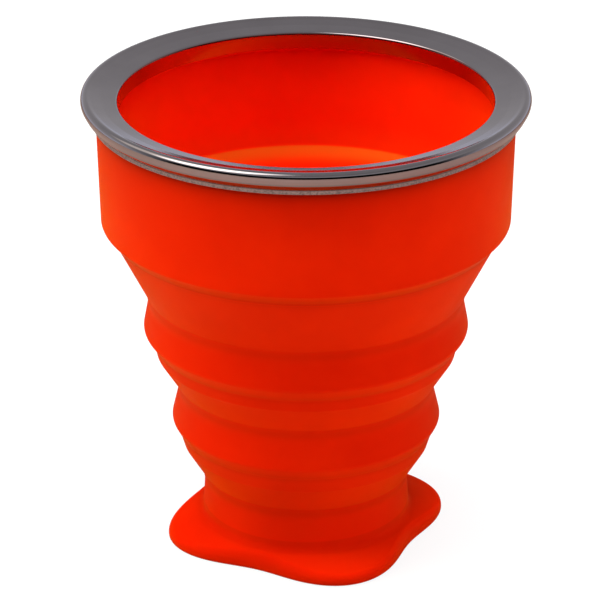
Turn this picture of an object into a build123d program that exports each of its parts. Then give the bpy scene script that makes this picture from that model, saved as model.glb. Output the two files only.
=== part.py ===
"""Collapsible travel cup: a moulded silicone body that folds at three thin webs, gripped by a
pressed steel drinking rim.

Units are millimetres, +Z is up, and the origin is the centre of the foot's underside, on the table.
The cup is drawn open, which is its rest position. Each section is drawn as (radius, height) in the
XZ plane and revolved about Z; only the foot is not round.
"""

import os
from math import cos, radians, sin

from build123d import *

os.makedirs("parts", exist_ok=True)


def station(height, inner, outer):
    """The silicone's inner and outer points at one height."""
    return (inner, height), (outer, height)


# ---------------------------------------------------------------- driving dimensions
cup_height = 95.95  # foot's underside to the rim's highest circle
rim_diameter = 88.9
mouth_radius = 37.15  # inside of the rim's inner skirt
sheet = 0.5  # steel sheet thickness
fit_gap = 0.05  # silicone lip to steel
wall = 2.15  # thick tier walls

# The rim's rolled edge and skirt. Depths are measured down from the top of the cup.
roll_radius = 1.10
roll_centre_radius = rim_diameter / 2 - roll_radius
skirt_depth = 4.8  # lower edge of the inner skirt
hem_depth = 4.97  # lower edge of the outer skirt's rolled hem
skirt_outside = mouth_radius + sheet
lip_inside = skirt_outside + fit_gap

# Each folding web runs between a top and a bottom station, where thick tiers take over.
# The step between them is faint, where the moulding gets thinner.
# Columns: height, inner radius, outer radius.
upper_web_top = station(66.7, 37.55, 38.75)
upper_web_step = station(63.5, 35.80, 37.10)
upper_web_bottom = station(53.8, 31.10, 32.25)

middle_web_top = station(42.8, 29.90, 31.00)
middle_web_step = station(40.2, 29.10, 30.37)
middle_web_bottom = station(34.0, 25.20, 26.45)

lower_web_top = station(23.2, 24.60, 26.15)
lower_web_step = station(19.8, 23.60, 25.08)
lower_web_bottom = station(13.8, 20.25, 21.40)

# Foot
foot_height = 2.3  # at the tips of the lobes
foot_dome = 4.05  # the foot's crown, level with the drink cavity's floor
foot_crown_radius = 22.25  # the foot's top slopes down from here
foot_mean_radius = 26.6
foot_lobes = 4
foot_lobe_rise = 2.8  # lobe tip or waist from the mean radius
foot_lobe_phase = 19.6  # degrees, direction of the first lobe from +X
foot_trim_radius = foot_mean_radius + 5  # clear of the lobe tips
foot_edge_round = 1.1
foot_bottom_round = 0.7
overlap_radius = 22.45  # the base wall's section runs this far out into the foot
overlap_bottom = 1.50  # and down to this height


# ---------------------------------------------------------------- helpers
def from_top(points):
    """Turn (radius, depth below the top of the cup) into (radius, height)."""
    return [(radius, cup_height - depth) for radius, depth in points]


def save(part, name):
    part.label = name
    export_step(part, f"parts/{name}.step")


def revolved_section(outline, corner=None, corner_round=0):
    """Revolve a closed outline about Z, rounding the one corner given, if any."""
    with BuildPart() as ring:
        with BuildSketch(Plane.XZ) as section:
            with BuildLine():
                Polyline(*outline, close=True)
            make_face()
            if corner is not None:
                nearest = section.vertices().sort_by_distance((*corner, 0))[0]
                fillet(nearest, radius=corner_round)
        revolve(axis=Axis.Z)
    return ring.part


# ---------------------------------------------------------------- steel rim
def rim_ring():
    # inner skirt, ledge and ramp, up to the rolled edge: radius, depth
    inner_face = from_top([
        (skirt_outside, skirt_depth),
        (mouth_radius, skirt_depth),
        (mouth_radius, 1.75),
        (mouth_radius + 0.15, 1.45),
        (mouth_radius + 0.45, 1.32),
        (40.30, 0.77),
        (42.40, 0.25),
        (roll_centre_radius - 0.32, roll_radius - 1.052),
    ])
    # middle and end of the rolled edge, a little more than a quarter turn: radius, depth
    roll_middle, roll_end = from_top([
        (roll_centre_radius + 0.867, roll_radius - 0.677),
        (roll_centre_radius + 0.971, roll_radius + 0.516),
    ])
    # outer skirt, its turn inward under the roll, and the hem: radius, depth
    outer_face = from_top([
        (43.75, 2.70),
        (42.45, 4.10),
        (42.55, 4.35),
        (42.47, 4.80),
        (42.20, hem_depth),
    ])
    # back up inside the channel and down to the inner skirt: radius, depth
    channel = from_top([
        (41.60, hem_depth - 0.15),
        (41.60, 3.90),
        (42.02, 3.74),
        (43.26, 2.42),
        (43.86, 1.38),
        (43.75, 0.66),
        (43.17, 0.53),
        (42.52, 0.76),
        (40.40, 1.28),
        (skirt_outside + 0.25, 1.82),
        (skirt_outside, 1.98),
        (skirt_outside, skirt_depth),
    ])
    with BuildPart() as rim:
        with BuildSketch(Plane.XZ):
            with BuildLine():
                Polyline(*inner_face)
                ThreePointArc(inner_face[-1], roll_middle, roll_end)
                Polyline(roll_end, *outer_face, *channel)
            make_face()
        revolve(axis=Axis.Z)
    return rim.part


# ---------------------------------------------------------------- silicone body
def upper_tier():
    """The drinking band, with a lip that fills the rim's channel."""
    band_corner = (41.00, 69.45)
    # up the band's outside, round the channel and down behind the skirt: radius, depth
    lip = from_top([
        (41.50, 6.60),
        (41.55, 5.30),
        (41.55, 3.86),
        (41.98, 3.68),
        (43.20, 2.39),
        (43.79, 1.40),
        (43.68, 0.73),
        (43.14, 0.60),
        (42.50, 0.83),
        (40.39, 1.345),
        (skirt_outside + 0.28, 1.89),
        (lip_inside, 2.03),
        (lip_inside, skirt_depth),
        (38.25, skirt_depth + 0.25),
        (38.80, skirt_depth + 1.00),
    ])
    outline = [*upper_web_top, (39.05, 67.25), band_corner, *lip, (38.80, 69.00)]
    return revolved_section(outline, band_corner, corner_round=0.8)


def thick_tier(web_below_top, outside, web_above_bottom, inside):
    """A tier between two webs; its widest corner, first up the outside, is rounded."""
    outline = [*web_below_top, *outside, *reversed(web_above_bottom), *inside]
    return revolved_section(outline, outside[0], corner_round=1.2)


def fold_web(top, step, bottom):
    top_inner, top_outer = top
    step_inner, step_outer = step
    bottom_inner, bottom_outer = bottom
    return revolved_section(
        [top_inner, top_outer, step_outer, bottom_outer, bottom_inner, step_inner]
    )


# Tier walls between the webs, as (radius, height): outside going up, inside going down
middle_outside = [(32.95, 45.65), (31.95, 50.90), (31.95, 52.20)]
middle_inside = [(30.10, 53.10), (32.00 - wall, 51.40), (32.75 - wall, 45.80)]
lower_outside = [(27.45, 25.55), (26.10, 31.10), (26.08, 32.50)]
lower_inside = [(24.25, 33.20), (26.10 - wall, 31.70), (27.20 - wall, 26.00)]


# ---------------------------------------------------------------- base
def lobe_point(angle):
    """Point on the lobed edge of the foot, at an angle in degrees from +X."""
    swing = cos(radians(foot_lobes * (angle - foot_lobe_phase)))
    radius = foot_mean_radius + foot_lobe_rise * swing
    return radius * cos(radians(angle)), radius * sin(radians(angle))


def is_foot_top_edge(edge):
    """True for edges above the foot's bottom rounding that reach out to the lobes."""
    box = edge.bounding_box()
    return box.min.Z > 1.5 and box.max.X > 23


def base_cup():
    """A short round wall and floor on a broad four-lobed foot, one moulding."""
    # the foot's top slopes down from the crown to the edge of the lobes
    foot_envelope = [
        (0, 0),
        (foot_trim_radius, 0),
        (foot_trim_radius, foot_height),
        (foot_mean_radius + foot_lobe_rise, foot_height),
        (foot_crown_radius, foot_dome),
        (0, foot_dome),
    ]
    # floor, inside wall, web joint, outside wall, then down into the foot
    wall_section = [
        (0, foot_dome),
        (18.30, foot_dome),
        (19.30, 5.40),
        (21.15 - wall, 11.40),
        (19.35, 13.00),
        *lower_web_bottom,
        (21.00, 12.40),
        (20.90, 11.00),
        (21.20, 5.60),
        (21.45, 4.85),
        (21.85, foot_dome + 0.30),
        (overlap_radius, foot_dome - 0.07),
        (overlap_radius, overlap_bottom),
        (0, overlap_bottom),
    ]
    with BuildPart() as base:
        with BuildSketch(Plane.XY):
            with BuildLine():
                Spline(*[lobe_point(angle) for angle in range(0, 360, 10)], periodic=True)
            make_face()
        extrude(amount=foot_dome)
        with BuildSketch(Plane.XZ):
            with BuildLine():
                Polyline(*foot_envelope, close=True)
            make_face()
        revolve(axis=Axis.Z, mode=Mode.INTERSECT)

        # round the foot before the wall adds more edges
        fillet(base.faces().sort_by(Axis.Z)[0].edges(), radius=foot_bottom_round)
        fillet(base.edges().filter_by(is_foot_top_edge), radius=foot_edge_round)

        with BuildSketch(Plane.XZ):
            with BuildLine():
                Polyline(*wall_section, close=True)
            make_face()
        revolve(axis=Axis.Z)
    return base.part


# ---------------------------------------------------------------- build, from the top down
save(rim_ring(), "rim_ring")
save(upper_tier(), "upper_tier")
save(fold_web(upper_web_top, upper_web_step, upper_web_bottom), "fold_web_upper")
save(thick_tier(middle_web_top, middle_outside, upper_web_bottom, middle_inside), "middle_tier")
save(fold_web(middle_web_top, middle_web_step, middle_web_bottom), "fold_web_middle")
save(thick_tier(lower_web_top, lower_outside, middle_web_bottom, lower_inside), "lower_tier")
save(fold_web(lower_web_top, lower_web_step, lower_web_bottom), "fold_web_lower")
save(base_cup(), "base_cup")
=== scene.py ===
"""A folding silicone cup with a polished steel rim, standing on the floor and opened out.

The cup's axis is Z, its underside lies at z = 0 and the camera looks from the front (-Y).
From the top: steel rim, upper tier, web, middle tier, web, lower tier, web, base with a
four-lobed foot. Section tables are in millimetres; meshes, lights and camera are in metres.
"""
import math

import bpy
import numpy as np
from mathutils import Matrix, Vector


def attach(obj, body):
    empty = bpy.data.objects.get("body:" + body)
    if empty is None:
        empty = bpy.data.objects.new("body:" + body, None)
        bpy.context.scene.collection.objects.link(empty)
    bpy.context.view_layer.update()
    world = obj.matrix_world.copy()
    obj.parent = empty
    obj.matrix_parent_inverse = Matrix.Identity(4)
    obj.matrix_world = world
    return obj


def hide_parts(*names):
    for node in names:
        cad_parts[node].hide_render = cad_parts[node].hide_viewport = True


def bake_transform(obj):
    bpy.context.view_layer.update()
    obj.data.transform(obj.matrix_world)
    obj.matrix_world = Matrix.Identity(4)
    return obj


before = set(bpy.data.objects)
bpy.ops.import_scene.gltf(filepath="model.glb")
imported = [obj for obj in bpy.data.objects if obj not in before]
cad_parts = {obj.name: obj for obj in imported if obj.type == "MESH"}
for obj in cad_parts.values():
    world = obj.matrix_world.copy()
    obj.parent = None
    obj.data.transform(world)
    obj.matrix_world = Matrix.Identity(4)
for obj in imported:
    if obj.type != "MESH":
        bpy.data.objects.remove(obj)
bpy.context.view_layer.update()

MM = 0.001
COLUMNS = 216  # mesh columns round the axis
ANGLES = np.arange(COLUMNS) * 2 * math.pi / COLUMNS

# ------------------------------------------------------------------ silicone sections
# Each row is (radius, height, corner rounding) in mm.

# outside of the body, top to bottom
OUTSIDE_CORNERS = [
    (41.50, 91.40, 0), (41.50, 89.40, 1.5), (41.00, 69.45, 0.8), (39.00, 67.25, 1.6),
    (37.15, 63.60, 0.8), (32.30, 53.95, 1.2), (31.90, 51.20, 5.0), (32.95, 45.65, 1.2),
    (30.95, 42.80, 1.8), (30.40, 40.30, 0.8), (26.50, 34.10, 1.2), (26.05, 31.40, 5.0),
    (27.45, 25.55, 1.2), (26.05, 23.00, 1.8), (25.10, 19.85, 0.8), (21.40, 13.80, 1.0),
    (20.90, 11.20, 4.0), (21.20, 5.5626, 0),
]
# inside of the body, from the centre of the floor to the top
INSIDE_CORNERS = [
    (0.0, 4.05, 0), (18.30, 4.05, 0.8), (19.30, 5.40, 0.8), (19.00, 11.40, 2.0),
    (19.35, 13.00, 0.8), (20.25, 13.80, 0.8), (23.60, 19.80, 6.0), (24.60, 23.20, 4.0),
    (25.05, 26.10, 2.2), (23.95, 31.70, 2.0), (24.25, 33.20, 0.8), (25.20, 34.00, 0.8),
    (29.10, 40.10, 6.0), (29.90, 42.80, 4.0), (30.55, 45.80, 2.2), (29.85, 51.40, 2.0),
    (30.10, 53.10, 0.8), (31.10, 53.80, 0.8), (35.85, 63.50, 8.0), (37.55, 66.70, 6.0),
    (38.80, 69.00, 1.6), (38.80, 90.15, 0.8), (38.20, 90.95, 0.5), (37.75, 91.15, 0),
]
# the lip that fills the steel channel, from the outside over to the inside
LIP_CORNERS = [
    (41.50, 91.40, 0), (41.50, 92.12, 0.2), (41.95, 92.31, 0.2), (43.15, 93.58, 0.2),
    (43.73, 94.55, 0.2), (43.63, 95.17, 0.2), (43.12, 95.29, 0.2), (42.48, 95.06, 0.2),
    (40.38, 94.55, 0.3), (37.95, 94.02, 0.2), (37.75, 93.88, 0.1), (37.75, 91.15, 0),
]

# (top, bottom) of the webs that fold between the tiers
UPPER_WEB = (66.7, 53.8)
MIDDLE_WEB = (42.8, 34.0)
LOWER_WEB = (23.2, 13.8)


# ------------------------------------------------------------------ section tools
def fillet_path(corners, step=0.35, arc_step=9.0):
    """Dense polyline through the corners, each rounded; step in mm, arc_step in degrees."""
    rounded = [np.array(corners[0][:2], float)]
    for i in range(1, len(corners) - 1):
        before, corner, after = (np.array(row[:2], float) for row in corners[i - 1:i + 2])
        back, ahead = before - corner, after - corner
        back_length, ahead_length = np.linalg.norm(back), np.linalg.norm(ahead)
        back, ahead = back / back_length, ahead / ahead_length
        half = math.acos(float(back @ ahead)) / 2
        # the rounding may take up just under half of either side
        setback = min(corners[i][2] / math.tan(half), 0.49 * back_length, 0.49 * ahead_length)
        radius = setback * math.tan(half)
        bisector = (back + ahead) / np.linalg.norm(back + ahead)
        centre = corner + bisector * (radius / math.sin(half))
        from_centre = corner + back * setback - centre
        to_centre = corner + ahead * setback - centre
        first = math.atan2(from_centre[1], from_centre[0])
        last = math.atan2(to_centre[1], to_centre[0])
        sweep = (last - first + math.pi) % (2 * math.pi) - math.pi
        count = max(2, int(math.ceil(abs(math.degrees(sweep)) / arc_step)))
        for j in range(count + 1):
            angle = first + sweep * j / count
            rounded.append(centre + radius * np.array([math.cos(angle), math.sin(angle)]))
    rounded.append(np.array(corners[-1][:2], float))

    dense = [rounded[0]]
    for point in rounded[1:]:
        last = dense[-1]
        count = max(1, int(math.ceil(float(np.linalg.norm(point - last)) / step)))
        for j in range(1, count + 1):
            dense.append(last + (point - last) * j / count)
    return np.array(dense)


def left_normals(path):
    """Unit normals of a section path, to the left of its direction, in (radius, height)."""
    along = np.gradient(path, axis=0)
    along /= np.linalg.norm(along, axis=1)[:, None]
    return np.stack([-along[:, 1], along[:, 0]], 1)


def cut(path, normals, z_low, z_high):
    """The stretch of a path between two heights, with points put exactly on both."""
    same_height, clear_of_end, closest = 1e-9, 1e-7, 0.01

    def between(z):
        return z_low - same_height <= z <= z_high + same_height

    points, directions = [], []
    for i in range(len(path) - 1):
        start, end = path[i], path[i + 1]
        low, high = min(start[1], end[1]), max(start[1], end[1])
        if between(start[1]):
            points.append(start)
            directions.append(normals[i])
        for z in sorted((z_low, z_high), reverse=bool(start[1] > end[1])):
            if low + clear_of_end < z < high - clear_of_end:
                share = (z - start[1]) / (end[1] - start[1])
                points.append(start + (end - start) * share)
                normal = normals[i] + (normals[i + 1] - normals[i]) * share
                directions.append(normal / np.linalg.norm(normal))
    if between(path[-1][1]):
        points.append(path[-1])
        directions.append(normals[-1])
    points, directions = np.array(points), np.array(directions)

    # drop points that nearly coincide with a neighbour, so a cut leaves no sliver faces
    keep = [0]
    for i in range(1, len(points) - 1):
        if all(np.linalg.norm(points[i] - points[j]) > closest for j in (keep[-1], -1)):
            keep.append(i)
    keep.append(len(points) - 1)
    return points[keep], directions[keep]


def make_mesh(name, vertices, faces, corner_normals):
    mesh = bpy.data.meshes.new(name)
    mesh.from_pydata(vertices, [], faces)
    mesh.validate()
    mesh.polygons.foreach_set("use_smooth", [True] * len(mesh.polygons))
    mesh.normals_split_custom_set(corner_normals)
    made = bpy.data.objects.new(name, mesh)
    bpy.context.scene.collection.objects.link(made)
    return made


def revolve(name, sections):
    """Closed ring of revolution.

    sections: (path, normals) pairs that follow one another round the section. Each path
    starts where the one before ends, and the last ends where the first starts.
    """
    paths = [sections[0][0]] + [path[1:] for path, _ in sections[1:]]
    points = np.concatenate(paths)[:-1]
    cosines, sines = np.cos(ANGLES), np.sin(ANGLES)
    vertices = [
        (radius * MM * cosines[k], radius * MM * sines[k], z * MM)
        for radius, z in points
        for k in range(COLUMNS)
    ]
    # normals at both ends of every edge of the section
    edge_normals = [pair for _, normals in sections for pair in zip(normals[:-1], normals[1:])]
    faces, corner_normals = [], []
    for row, (normal, next_normal) in enumerate(edge_normals):
        next_row = (row + 1) % len(points)
        for k in range(COLUMNS):
            next_k = (k + 1) % COLUMNS
            corners = [
                (row, k, normal), (next_row, k, next_normal),
                (next_row, next_k, next_normal), (row, next_k, normal),
            ]
            faces.append([i * COLUMNS + column for i, column, _ in corners])
            corner_normals += [
                (n[0] * cosines[column], n[0] * sines[column], n[1])
                for _, column, n in corners
            ]
    return make_mesh(name, vertices, faces, corner_normals)


# ------------------------------------------------------------------ silicone tiers and webs
outside = fillet_path(OUTSIDE_CORNERS)
outside_normals = left_normals(outside)
inside = fillet_path(INSIDE_CORNERS)
inside_normals = left_normals(inside)
lip = fillet_path(LIP_CORNERS)[::-1]  # from the inside over to the outside


def end_cap(start, end):
    """Flat end of a piece, with its normals turned into the piece."""
    along = (end - start) / np.linalg.norm(end - start)
    normal = np.array([along[1], -along[0]])
    return np.array([start, end]), np.array([normal, normal])


def wall_sections(z_bottom, z_top=math.inf):
    """Down the outside, across the bottom and up the inside."""
    outer = cut(outside, outside_normals, z_bottom, z_top)
    inner = cut(inside, inside_normals, z_bottom, z_top)
    return [outer, end_cap(outer[0][-1], inner[0][0]), inner]


def ring_piece(name, z_top, z_bottom):
    sections = wall_sections(z_bottom, z_top)
    top_cap = end_cap(sections[-1][0][-1], sections[0][0][0])
    return revolve(name, sections + [top_cap])


def upper_tier_piece(name, z_bottom):
    return revolve(name, wall_sections(z_bottom) + [(lip, left_normals(lip))])


upper_tier = upper_tier_piece("drinking_band_silicone", UPPER_WEB[0])
upper_web = ring_piece("upper_fold_silicone", *UPPER_WEB)
middle_tier = ring_piece("middle_tier_silicone", UPPER_WEB[1], MIDDLE_WEB[0])
middle_web = ring_piece("middle_fold_silicone", *MIDDLE_WEB)
lower_tier = ring_piece("lower_tier_silicone", MIDDLE_WEB[1], LOWER_WEB[0])
lower_web = ring_piece("lower_fold_silicone", *LOWER_WEB)

# ------------------------------------------------------------------ base with four-lobed foot
FLOOR_Z = INSIDE_CORNERS[0][1]  # floor of the cavity
WALL_RADIUS, WALL_Z = OUTSIDE_CORNERS[-1][:2]  # where the wall meets its fillet
FILLET_RADIUS = 1.6  # between the wall and the top of the foot

FOOT_LOBES = 4
FOOT_RADIUS = 26.6  # mean radius of the outline
LOBE_DEPTH = 2.8  # how far the outline swings either side of the mean
LOBE_ANGLE = math.radians(19.6)  # direction of the first lobe

# the foot's top is a shallow cone through (CONE_RADIUS, CONE_Z)
CONE_RADIUS, CONE_Z = 22.25, 4.05
CONE_SLOPE = 1.75 / 7.15

EDGE_WIDTH = 1.2  # the pillowed edge starts this far in
EDGE_LOW = 1.0  # and ends at this height
EDGE_TILT = 0.8  # how closely the edge's start follows the cone
UNDER_RADIUS = 0.8  # rounding under the edge

FILLET_STEPS = 6
CONE_STEPS = 8
EDGE_STEPS = 11
UNDER_STEPS = 5
BOTTOM_STEPS = 6  # the last one reaches the axis


def wall_fillet():
    """Fillet from the wall to the foot's top, as (path, normals)."""
    path, normals = [], []
    for j in range(1, FILLET_STEPS + 1):
        angle = (math.pi / 2 - math.atan(CONE_SLOPE)) * j / FILLET_STEPS
        cosine, sine = math.cos(angle), math.sin(angle)
        path.append((WALL_RADIUS + FILLET_RADIUS * (1 - cosine), WALL_Z - FILLET_RADIUS * sine))
        normals.append((cosine, sine))
    return path, normals


def foot_column(cosine, sine, angle, start_radius):
    """The foot at one angle, from its fillet out over the edge and under, to near the axis.

    Gives rows of (x, y, z, normal x, normal y, normal z).
    """
    phase = FOOT_LOBES * (angle - LOBE_ANGLE)
    radius = FOOT_RADIUS + LOBE_DEPTH * math.cos(phase)
    radius_change = -FOOT_LOBES * LOBE_DEPTH * math.sin(phase)
    # plan normal of the lobed outline
    out_x = radius * cosine + radius_change * sine
    out_y = radius * sine - radius_change * cosine
    length = math.hypot(out_x, out_y)
    out_x, out_y = out_x / length, out_y / length
    column = []

    # cone
    edge_x, edge_y = radius * cosine - out_x * EDGE_WIDTH, radius * sine - out_y * EDGE_WIDTH
    normal_length = math.hypot(1, CONE_SLOPE)
    for j in range(1, CONE_STEPS + 1):
        share = j / CONE_STEPS
        x = (1 - share) * start_radius * cosine + share * edge_x
        y = (1 - share) * start_radius * sine + share * edge_y
        reach = math.hypot(x, y)
        tilt = CONE_SLOPE / normal_length
        column.append((x, y, CONE_Z - CONE_SLOPE * (reach - CONE_RADIUS),
                       tilt * x / reach, tilt * y / reach, 1 / normal_length))

    # pillowed edge: quarter of an ellipse whose top is tilted to follow the cone
    edge_z = CONE_Z - CONE_SLOPE * (math.hypot(edge_x, edge_y) - CONE_RADIUS)
    first = math.atan(CONE_SLOPE * EDGE_WIDTH / (edge_z - EDGE_LOW) * EDGE_TILT)
    high = (edge_z - EDGE_LOW) / math.cos(first)
    wide = EDGE_WIDTH / (1 - math.sin(first))
    for j in range(1, EDGE_STEPS + 1):
        turn = first + (math.pi / 2 - first) * j / EDGE_STEPS
        shift = wide * (math.sin(turn) - math.sin(first))
        outward, upward = math.sin(turn) / wide, math.cos(turn) / high
        length = math.hypot(outward, upward)
        column.append((edge_x + out_x * shift, edge_y + out_y * shift,
                       EDGE_LOW + high * math.cos(turn),
                       out_x * outward / length, out_y * outward / length, upward / length))
    column.append((edge_x + out_x * EDGE_WIDTH, edge_y + out_y * EDGE_WIDTH, UNDER_RADIUS,
                   out_x, out_y, 0))

    # rounding under the edge
    flat_x = edge_x + out_x * (EDGE_WIDTH - UNDER_RADIUS)
    flat_y = edge_y + out_y * (EDGE_WIDTH - UNDER_RADIUS)
    for j in range(1, UNDER_STEPS + 1):
        turn = math.radians(90 * j / UNDER_STEPS)
        across, down = math.cos(turn), math.sin(turn)
        column.append((flat_x + out_x * UNDER_RADIUS * across,
                       flat_y + out_y * UNDER_RADIUS * across,
                       UNDER_RADIUS * (1 - down),
                       out_x * across, out_y * across, -down))

    # flat bottom
    for j in range(1, BOTTOM_STEPS):
        share = j / BOTTOM_STEPS
        column.append((flat_x * (1 - share), flat_y * (1 - share), 0.0, 0, 0, -1))
    return column


def base_piece(name):
    outer = cut(outside, outside_normals, WALL_Z, LOWER_WEB[1])
    inner = cut(inside, inside_normals, FLOOR_Z, LOWER_WEB[1])
    fillet = wall_fillet()
    columns = []
    for angle in ANGLES:
        cosine, sine = math.cos(angle), math.sin(angle)
        column = [
            (radius * cosine, radius * sine, z, normal_r * cosine, normal_r * sine, normal_z)
            for path, normals in (inner, outer, fillet)
            for (radius, z), (normal_r, normal_z) in zip(path, normals)
        ]
        columns.append(column + foot_column(cosine, sine, angle, fillet[0][-1][0]))

    rows = len(columns[0])
    vertices = [(0, 0, FLOOR_Z * MM)]
    for i in range(1, rows):
        for column in columns:
            x, y, z = column[i][:3]
            vertices.append((x * MM, y * MM, z * MM))
    bottom_centre = len(vertices)
    vertices.append((0, 0, 0))

    def vertex(row, column):
        return 0 if row == 0 else 1 + (row - 1) * COLUMNS + column

    faces, corner_normals = [], []
    cap = len(inner[0]) - 1  # this row of faces is the flat top that meets the lower web
    for i in range(rows - 1):
        for k in range(COLUMNS):
            next_k = (k + 1) % COLUMNS
            corners = [(i, k), (i + 1, k), (i + 1, next_k)]
            if i > 0:
                corners.append((i, next_k))
            faces.append([vertex(row, column) for row, column in corners])
            for row, column in corners:
                corner_normals.append((0, 0, 1) if i == cap else columns[column][row][3:])
    for k in range(COLUMNS):
        next_k = (k + 1) % COLUMNS
        faces.append([vertex(rows - 1, k), bottom_centre, vertex(rows - 1, next_k)])
        corner_normals += [(0, 0, -1)] * 3
    return make_mesh(name, vertices, faces, corner_normals)


base = base_piece("base_and_foot_silicone")

# ------------------------------------------------------------------ steel rim, one bent sheet
# Rows are (radius, height, corner rounding) in mm.

# from the inner bottom edge up and outward to the start of the roll
RIM_RAMP_CORNERS = [
    (37.15, 91.15, 0), (37.15, 94.56, 0.60), (40.30, 95.18, 3.0),
    (42.40, 95.70, 3.0), (43.028, 95.902, 0),
]
# from the end of the roll down and under the hem
RIM_SKIRT_CORNERS = [
    (44.321, 94.334, 0), (43.75, 93.25, 0.6), (42.50, 91.90, 0.12),
    (42.46, 91.15, 0.25), (42.20, 90.98, 0.20), (41.60, 91.13, 0),
]
# the channel's side of the sheet, from the hem back to the inner bottom edge
RIM_CHANNEL_CORNERS = [
    (41.60, 91.13, 0), (41.60, 92.05, 0.2), (42.02, 92.21, 0.2), (43.26, 93.53, 0.2),
    (43.86, 94.57, 0.2), (43.75, 95.29, 0.2), (43.17, 95.42, 0.2), (42.52, 95.19, 0.2),
    (40.40, 94.67, 0.3), (37.90, 94.13, 0.2), (37.65, 93.97, 0.1), (37.65, 91.22, 0.1),
    (37.50, 91.09, 0.1), (37.28, 91.07, 0.1), (37.15, 91.15, 0),
]
ROLL_RADIUS = 1.10
ROLL_CENTRE = (43.35, 94.85)
ROLL_DEGREES = np.linspace(107.0, -28.0, 30)


def rim_piece(name):
    roll_arc = np.array([
        [ROLL_CENTRE[0] + ROLL_RADIUS * math.cos(math.radians(degrees)),
         ROLL_CENTRE[1] + ROLL_RADIUS * math.sin(math.radians(degrees))]
        for degrees in ROLL_DEGREES
    ])
    ramp = fillet_path(RIM_RAMP_CORNERS, step=0.25, arc_step=5.0)
    skirt = fillet_path(RIM_SKIRT_CORNERS, step=0.2, arc_step=6.0)
    visible = np.concatenate([ramp[:-1], roll_arc, skirt[1:]])
    channel = fillet_path(RIM_CHANNEL_CORNERS, step=0.4)
    return revolve(name, [(path, left_normals(path)) for path in (visible, channel)])


rim = rim_piece("steel_rim")


# ------------------------------------------------------------------ shader graphs
class Graph:
    """Builds the shader nodes of a material or world; the methods return output sockets."""

    def __init__(self, owner, output_kind):
        owner.use_nodes = True
        self.tree = owner.node_tree
        self.tree.nodes.clear()
        self.surface = self.tree.nodes.new("ShaderNode" + output_kind).inputs[0]

    def node(self, kind, inputs=None, **settings):
        """A node whose inputs are linked where the value is a socket, and set otherwise."""
        made = self.tree.nodes.new("ShaderNode" + kind)
        for key, value in settings.items():
            setattr(made, key, value)
        for key, value in (inputs or {}).items():
            if isinstance(value, bpy.types.NodeSocket):
                self.tree.links.new(value, made.inputs[key])
            else:
                made.inputs[key].default_value = value
        return made

    def finish(self, shader):
        self.tree.links.new(shader, self.surface)

    def math(self, operation, *values):
        return self.node("Math", dict(enumerate(values)), operation=operation).outputs[0]

    def noise(self, vector, **values):
        inputs = {key.capitalize(): value for key, value in values.items()}
        return self.node("TexNoise", {"Vector": vector, **inputs}).outputs["Fac"]

    def map_range(self, value, start, end, to=None, **settings):
        """Maps start..end to 0..1, or to the pair `to`."""
        inputs = {"Value": value, "From Min": start, "From Max": end}
        if to:
            inputs.update({"To Min": to[0], "To Max": to[1]})
        return self.node("MapRange", inputs, **settings).outputs["Result"]

    def colour_ramp(self, value, stops):
        """stops: (position, (red, green, blue)), from low to high."""
        ramp = self.node("ValToRGB", {"Fac": value})
        elements = ramp.color_ramp.elements
        for element, (position, colour) in zip(elements, (stops[0], stops[-1])):
            element.position = position
            element.color = colour + (1,)
        for position, colour in stops[1:-1]:
            elements.new(position).color = colour + (1,)
        return ramp.outputs["Color"]

    def mix(self, factor, first, second, blend="MIX"):
        mixer = self.node("Mix", data_type="RGBA", blend_type=blend)
        for key, value in (("Factor", factor), (6, first), (7, second)):
            if isinstance(value, bpy.types.NodeSocket):
                self.tree.links.new(value, mixer.inputs[key])
            else:
                mixer.inputs[key].default_value = value
        return mixer.outputs[2]

    def bump(self, height, strength, distance, normal=None):
        inputs = {"Height": height, "Strength": strength, "Distance": distance}
        if normal:
            inputs["Normal"] = normal
        return self.node("Bump", inputs).outputs["Normal"]

    def attribute(self, name):
        return self.node("Attribute", attribute_name=name).outputs["Fac"]

    def shader(self, kind, **values):
        inputs = {key.capitalize(): value for key, value in values.items()}
        return self.node(kind, inputs).outputs[0]

    def mix_shaders(self, factor, first, second):
        return self.node("MixShader", {"Fac": factor, 1: first, 2: second}).outputs[0]


def silicone_material():
    material = bpy.data.materials.new("silicone_orange_red")
    graph = Graph(material, "OutputMaterial")
    place = graph.node("TexCoord").outputs["Object"]

    # slow colour variation, then painted light (a lighter colour where the inside faces up) and
    # painted shade (darker in grooves and next to the rim), both read from painted attributes
    slow = graph.noise(place, scale=55.0, detail=3.0)
    body = graph.colour_ramp(slow, [(0.35, (0.78, 0.0100, 0.0004)),
                                    (0.68, (0.85, 0.0134, 0.0005))])
    # painted light: a lighter orange on the inside where light from above falls
    lit = graph.mix(graph.attribute("painted_light"), body, (0.66, 0.080, 0.0045, 1))
    # painted shade multiplied in: grooves, the crease at the foot and under the rim
    colour = graph.mix(1.0, lit, graph.attribute("painted_shade"), blend="MULTIPLY")

    # fine grain over slow unevenness, with a patchy haze in the roughness
    grain = graph.noise(place, scale=2600.0, detail=2.0)
    haze = graph.noise(place, scale=260.0, detail=4.0)
    uneven = graph.bump(slow, strength=0.12, distance=0.0003)
    graph.finish(graph.node("BsdfPrincipled", {
        "Base Color": colour,
        "Roughness": graph.map_range(haze, start=0.3, end=0.7, to=(0.46, 0.54)),
        "Normal": graph.bump(grain, strength=0.10, distance=0.00004, normal=uneven),
        "IOR": 1.41,
        "Specular IOR Level": 0.012,
        "Specular Tint": (1.0, 0.42, 0.06, 1),
        "Subsurface Weight": 0.12,
        "Subsurface Radius": (1.0, 0.06, 0.02),
        "Subsurface Scale": 0.0016,
        "Sheen Weight": 0.26,
        "Sheen Roughness": 0.45,
        "Sheen Tint": (0.55, 0.33, 0.004, 1),
    }).outputs[0])
    return material


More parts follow.
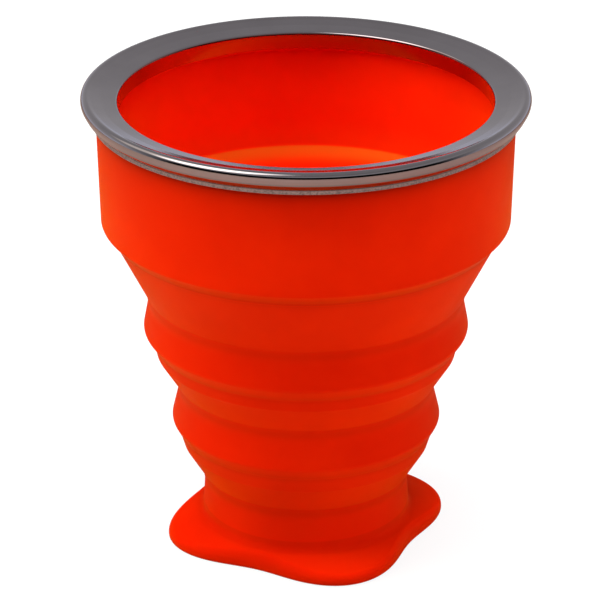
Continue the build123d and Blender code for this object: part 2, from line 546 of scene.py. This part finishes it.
def steel_material():
    """Radii and heights that bound the zones are in metres."""
    material = bpy.data.materials.new("polished_steel")
    graph = Graph(material, "OutputMaterial")
    place = graph.node("TexCoord").outputs["Object"]
    x, y, z = graph.node("SeparateXYZ", {0: place}).outputs

    # polishing lines run round the rim: noise by radius and height, stretched along the angle
    squares = graph.math("ADD", graph.math("MULTIPLY", x, x), graph.math("MULTIPLY", y, y))
    radius = graph.math("SQRT", squares)
    height = graph.math("ADD", z, 0.0)
    angle = graph.math("MULTIPLY", graph.math("ARCTAN2", y, x), 0.0009)
    around = graph.node("CombineXYZ", {"X": radius, "Y": z, "Z": angle}).outputs[0]
    lines = graph.noise(around, scale=6500.0, detail=3.0)

    smudge = graph.noise(place, scale=90.0, detail=5.0)
    colour = graph.colour_ramp(smudge, [(0.3, (0.56, 0.51, 0.54)), (0.7, (0.63, 0.575, 0.61))])

    # painted reflection: the innermost face is redder, standing in for its reflection of the red
    # silicone
    inner_red_reflection = graph.map_range(radius, start=0.03735, end=0.03725)
    colour = graph.mix(inner_red_reflection, colour, (0.44, 0.17, 0.16, 1))

    # painted shade: the turned-in part of the outer skirt, above the hem, is darker, dimming its
    # reflection of the shaded band below
    turned_in = graph.map_range(height, start=0.0938, end=0.0929)
    above_hem = graph.map_range(height, start=0.09175, end=0.09200)
    outer_side = graph.math("GREATER_THAN", radius, 0.0400)
    shaded_cove = graph.math("MULTIPLY", turned_in, above_hem)
    shaded_cove = graph.math("MULTIPLY", shaded_cove, outer_side)
    colour = graph.mix(shaded_cove, colour, (0.34, 0.27, 0.26, 1))

    # the hem is finely pitted
    hem = graph.map_range(height, start=0.09195, end=0.09165)
    hem = graph.math("MULTIPLY", hem, outer_side)
    pits = graph.noise(place, scale=2600.0, detail=2.0, roughness=0.7)
    pit_shade = graph.map_range(pits, start=0.38, end=0.56, to=(0.48, 1.0))
    colour = graph.mix(hem, colour, pit_shade, blend="MULTIPLY")

    polish = graph.bump(lines, strength=0.05, distance=0.00001)
    graph.finish(graph.node("BsdfPrincipled", {
        "Base Color": colour,
        "Roughness": graph.map_range(smudge, start=0.35, end=0.70, to=(0.08, 0.13)),
        "Normal": graph.bump(pits, strength=hem, distance=0.00008, normal=polish),
        "Metallic": 1.0,
    }).outputs[0])
    return material


# ------------------------------------------------------------------ painted attributes
ON_SURFACE = 0.02  # a vertex this near a section path, in mm, lies on it

# painted shade in the grooves round the outside: (height, half-width, depth), mm and share of the
# colour
GROOVES = [
    (67.5, 1.3, 0.16), (52.9, 1.0, 0.10), (43.2, 0.9, 0.08),
    (33.0, 1.0, 0.10), (23.3, 0.9, 0.08), (12.7, 1.0, 0.10),
]


def smooth(x, start, end):
    share = np.clip((x - start) / (end - start), 0, 1)
    return share * share * (3 - 2 * share)


def dip(x, centre, width):
    """Bell curve, 1 at the centre."""
    return np.exp(-(((x - centre) / width) ** 2))


def fade_below(z, top, distance):
    """1 at the top and above, falling off exponentially below it."""
    return np.exp(-np.maximum(top - z, 0) / distance)


def radii_and_heights(piece):
    """Distance from the axis and height of every vertex, in mm."""
    places = np.zeros(len(piece.data.vertices) * 3)
    piece.data.vertices.foreach_get("co", places)
    places = places.reshape(-1, 3) / MM
    return np.hypot(places[:, 0], places[:, 1]), places[:, 2]


def distances(radius, z, path):
    """From every vertex to every point of a section path."""
    return np.hypot(radius[:, None] - path[None, :, 0], z[:, None] - path[None, :, 1])


def painted_light_values(radius, z):
    """Painted light: a lighter colour on the inside, where it faces up at the webs and low on the
    top wall, standing in for light from above.
    """
    to_inside = distances(radius, z, inside)
    nearest = to_inside.argmin(1)
    on_inside = (to_inside[np.arange(len(radius)), nearest] < ON_SURFACE) & (z > 12)
    normal = inside_normals[nearest]
    facing_up = smooth(normal[:, 1], 0.20, 0.46) * smooth(-normal[:, 0], 0.1, 0.4)
    near_web = np.zeros(len(z))
    for top, bottom in (UPPER_WEB, MIDDLE_WEB, LOWER_WEB):  # strongest at each web's top
        at_web = (z <= top + 3) & (z >= bottom)
        near_web = np.where(at_web, 0.06 + 0.94 * smooth(z, top - 1.5, top + 1.5), near_web)
    low_wall = 0.16 * smooth(z, 76.0, 69.0) * (radius > 37.0)
    return np.where(on_inside, np.maximum(facing_up * near_web, low_wall), 0.0)


def painted_shade_values(radius, z):
    """Painted shade: factor on the colour, below 1 in grooves and next to the rim."""
    # painted shadow of the rim on the outside, just under it
    under_rim = (radius > 40.5) & (z < 91.2) & (z > 70)
    painted_shade = np.where(under_rim, 1 - 0.62 * fade_below(z, 91.0, 1.6), 1.0)
    # painted shade in the grooves round the outside
    on_outside = distances(radius, z, outside).min(1) < ON_SURFACE
    for height, width, depth in GROOVES:
        painted_shade = np.where(on_outside, painted_shade * (1 - depth * dip(z, height, width)), painted_shade)
    # painted shade in the crease round the top of the foot
    crease = (z < 6.5) & (radius > 20.5) & (radius < 25.0)
    painted_shade = np.where(crease, painted_shade * (1 - 0.12 * dip(radius, 21.6, 1.0)), painted_shade)
    # painted shade inside, just under the rim
    below_steel = (radius > 37.6) & (radius < 38.9) & (z > 80) & (z < 91.2)
    return np.where(below_steel, painted_shade * (1 - 0.30 * fade_below(z, 90.9, 0.9)), painted_shade)


def paint(piece):
    radius, z = radii_and_heights(piece)
    for name, rule in (("painted_light", painted_light_values), ("painted_shade", painted_shade_values)):
        attribute = piece.data.attributes.new(name, "FLOAT", "POINT")
        attribute.data.foreach_set("value", rule(radius, z).astype(np.float32))


silicone = silicone_material()
steel = steel_material()
for piece in (upper_tier, upper_web, middle_tier, middle_web, lower_tier, lower_web, base):
    paint(piece)
    piece.data.materials.append(silicone)
rim.data.materials.append(steel)

# ------------------------------------------------------------------ what moves with what
for piece, body, cad_piece in (
    (rim, "upper", "rim_ring"),
    (upper_tier, "upper", "upper_tier"),
    (middle_tier, "middle", "middle_tier"),
    (lower_tier, "lower", "lower_tier"),
    (base, "base", "base_cup"),
):
    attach(piece, body)
    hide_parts(cad_piece)


def roll(web):
    """Bakes the web's placement into its mesh and reads the radius of each vertex.
    """
    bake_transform(web)
    radius, _ = radii_and_heights(web)


roll(upper_web)
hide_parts("fold_web_upper")
roll(middle_web)
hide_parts("fold_web_middle")
roll(lower_web)
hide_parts("fold_web_lower")

# ------------------------------------------------------------------ floor
scene = bpy.context.scene
scene.view_settings.view_transform = "Standard"
scene.view_settings.look = "None"

FLOOR_RADIUS = 1.6
FLOOR_SIDES = 96
FLOOR_DROP = 0.0001  # below the cup's underside


def floor_material():
    """White to the camera, a dim brown in the steel's reflections, mid grey to bounced light."""
    material = bpy.data.materials.new("pale_floor")
    graph = Graph(material, "OutputMaterial")
    ray = graph.node("LightPath").outputs
    sheet = graph.shader("BsdfDiffuse", color=(0.93, 0.93, 0.93, 1))
    emission = graph.shader("Emission", color=(1, 1, 1, 1), strength=1.04)
    lit_sheet = graph.mix_shaders(0.85, sheet, emission)  # mostly lit, so shadows stay faint
    # painted reflection: the floor the steel mirrors is a dim red-brown, standing in for shade
    # and red bounce light beneath the cup
    mirrored = graph.shader("BsdfDiffuse", color=(0.20, 0.135, 0.115, 1))
    bounce = graph.shader("BsdfDiffuse", color=(0.46, 0.46, 0.46, 1))
    seen = graph.mix_shaders(ray["Is Glossy Ray"], lit_sheet, mirrored)
    graph.finish(graph.mix_shaders(ray["Is Diffuse Ray"], seen, bounce))
    return material


floor_mesh = bpy.data.meshes.new("floor")
floor_angles = [2 * math.pi * i / FLOOR_SIDES for i in range(FLOOR_SIDES)]
floor_mesh.from_pydata(
    [(FLOOR_RADIUS * math.cos(a), FLOOR_RADIUS * math.sin(a), -FLOOR_DROP) for a in floor_angles],
    [],
    [list(range(FLOOR_SIDES))],
)
floor = bpy.data.objects.new("floor", floor_mesh)
scene.collection.objects.link(floor)
floor_mesh.materials.append(floor_material())


# ------------------------------------------------------------------ world
def grey(value):
    """A very slightly blue grey."""
    return (value, value, value * 1.02)


# (sine of the direction's elevation, colour)
BACK_WALL = [  # behind the cup, +Y: a fairly even grey
    (-1, grey(0.3)), (-0.05, (0.42, 0.43, 0.50)), (0.02, (0.46, 0.48, 0.56)),
    (0.1, (0.41, 0.42, 0.47)), (0.2, grey(0.34)), (0.37, grey(0.28)), (0.6, grey(0.24)),
    (0.8, grey(0.20)), (1, grey(0.20)),
]
FRONT_WALL = [  # behind the camera, -Y: dark, with a pale strip above
    (-1, grey(0.3)), (-0.42, grey(0.12)), (-0.30, grey(0.004)), (0.48, grey(0.004)),
    (0.62, grey(0.34)), (0.75, grey(0.20)), (0.85, grey(0.15)), (1, grey(0.20)),
]


def build_world():
    """Pale to the camera, nearly black as a fill light, a grey room in reflections."""
    world = bpy.data.worlds.new("studio")
    scene.world = world
    graph = Graph(world, "OutputWorld")
    ray = graph.node("LightPath").outputs
    direction = graph.node("TexCoord").outputs["Generated"]
    _, y, z = graph.node("SeparateXYZ", {0: direction}).outputs

    def wall(stops):
        elevation = graph.map_range(z, start=-1, end=1)
        return graph.colour_ramp(elevation, [((sine + 1) / 2, colour) for sine, colour in stops])

    def light_patch(towards, outer_degrees, inner_degrees, colour, strength):
        """A soft-edged round patch of light on the room's wall."""
        closeness = graph.node(
            "VectorMath", {0: direction, 1: Vector(towards).normalized()}, operation="DOT_PRODUCT"
        ).outputs["Value"]
        level = graph.map_range(
            closeness,
            start=math.cos(math.radians(outer_degrees)),
            end=math.cos(math.radians(inner_degrees)),
            to=(0.0, strength),
            interpolation_type="SMOOTHSTEP",
        )
        return graph.shader("Background", color=colour, strength=level)

    back_wall, front_wall = wall(BACK_WALL), wall(FRONT_WALL)
    side = graph.map_range(y, start=-0.35, end=0.25)
    room = graph.shader("Background", color=graph.mix(side, front_wall, back_wall))
    for patch in (
        light_patch((-0.46, -0.08, 0.89), outer_degrees=26, inner_degrees=8,
                    colour=(1, 0.97, 0.90, 1), strength=2.4),
        light_patch((-0.58, 0.30, 0.75), outer_degrees=22, inner_degrees=6,
                    colour=(1.0, 0.90, 0.74, 1), strength=0.5),
    ):
        room = graph.node("AddShader", {0: room, 1: patch}).outputs[0]
    fill = graph.shader("Background", color=(0.02, 0.02, 0.02, 1))
    backdrop = graph.shader("Background", color=(0.93, 0.93, 0.93, 1))
    unseen = graph.mix_shaders(ray["Is Glossy Ray"], fill, room)
    graph.finish(graph.mix_shaders(ray["Is Camera Ray"], unseen, backdrop))


build_world()

# ------------------------------------------------------------------ lights
LIGHT_TARGET = Vector((0, 0, 0.05))
LIGHT_DISTANCE = 1.1
WHITE = (1, 1, 1)
# name, direction from the target, width, height, power in watts, colour
SOFTBOXES = [
    ("softbox_key", (-0.46, -0.08, 0.89), 0.55, 0.55, 5.7, WHITE),
    ("softbox_top", (0, 0, 1), 0.7, 0.7, 21.5, WHITE),
    ("softbox_front", (0.05, -0.6, 0.80), 0.6, 0.6, 2.6, WHITE),
    ("softbox_left", (-1.0, -0.20, 0.60), 0.6, 0.6, 6.0, (0.93, 1.22, 0.85)),
    ("softbox_right", (1.0, -0.25, 0.25), 0.4, 0.8, 4.9, WHITE),
]

# the softboxes leave out the polished rim, which is lit by the world's room
all_but_the_rim = bpy.data.collections.new("all_but_the_rim")
all_but_the_rim.objects.link(rim)
all_but_the_rim.collection_objects[0].light_linking.link_state = "EXCLUDE"

for name, direction, width, height, power, colour in SOFTBOXES:
    light = bpy.data.lights.new(name, "AREA")
    light.shape = "RECTANGLE"
    light.size, light.size_y = width, height
    light.energy = power
    light.color = colour
    softbox = bpy.data.objects.new(name, light)
    scene.collection.objects.link(softbox)
    softbox.location = LIGHT_TARGET + Vector(direction).normalized() * LIGHT_DISTANCE
    softbox.rotation_mode = "QUATERNION"
    softbox.rotation_quaternion = (LIGHT_TARGET - softbox.location).to_track_quat("-Z", "Y")
    softbox.light_linking.receiver_collection = all_but_the_rim

# ------------------------------------------------------------------ camera
CAMERA_PLACE = (0.0, -0.622, 0.3312)
CAMERA_DOWN_TILT = 24.283  # degrees below the horizontal

camera_data = bpy.data.cameras.new("camera")
camera_data.sensor_width = 36.0
camera_data.lens = 202.2
camera_data.shift_x = -0.01
camera_data.clip_start, camera_data.clip_end = 0.01, 20
camera = bpy.data.objects.new("camera", camera_data)
scene.collection.objects.link(camera)
camera.location = CAMERA_PLACE
camera.rotation_euler = (math.radians(90 - CAMERA_DOWN_TILT), 0, 0)
scene.camera = camera
